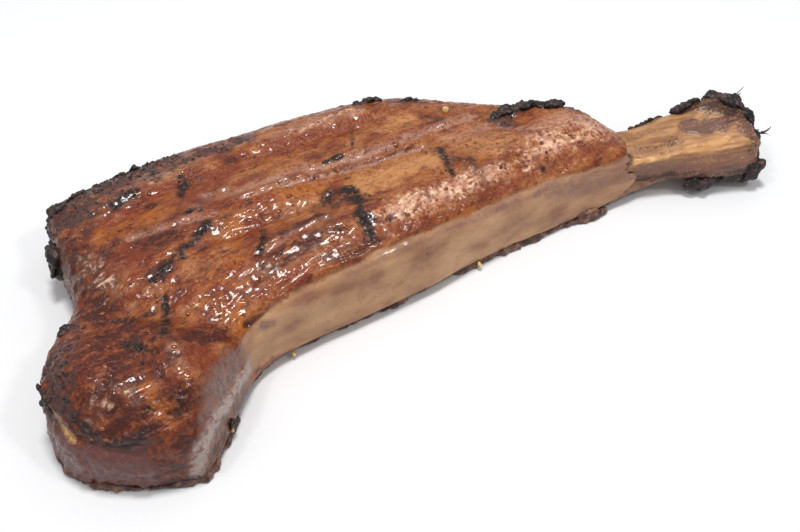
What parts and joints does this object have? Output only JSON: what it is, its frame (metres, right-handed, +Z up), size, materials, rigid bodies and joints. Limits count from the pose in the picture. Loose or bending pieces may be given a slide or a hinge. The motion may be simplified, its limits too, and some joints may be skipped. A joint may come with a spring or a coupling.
{
  "type": "grilled bone-in rib chop",
  "caption": "Long grilled and glazed bone-in rib chop lying on its cut face, with a thick knuckle end and a bare flared rib end.",
  "frame": {"origin": "bottom centre of the whole chop, on the surface it lies on", "axes": "+X along the rib towards its bare end, +Y from the rib side towards the outer fat edge, +Z up through the grilled top"},
  "size_m": [0.296, 0.1272, 0.036],
  "materials": {
    "grilled_meat": "glazed, glossy and uneven",
    "roasted_bone": "dry satin, charred at the end"
  },
  "bodies": {
    "root": {"meat": "grilled_meat", "rib_bone": "roasted_bone"}
  },
  "joints": []
}
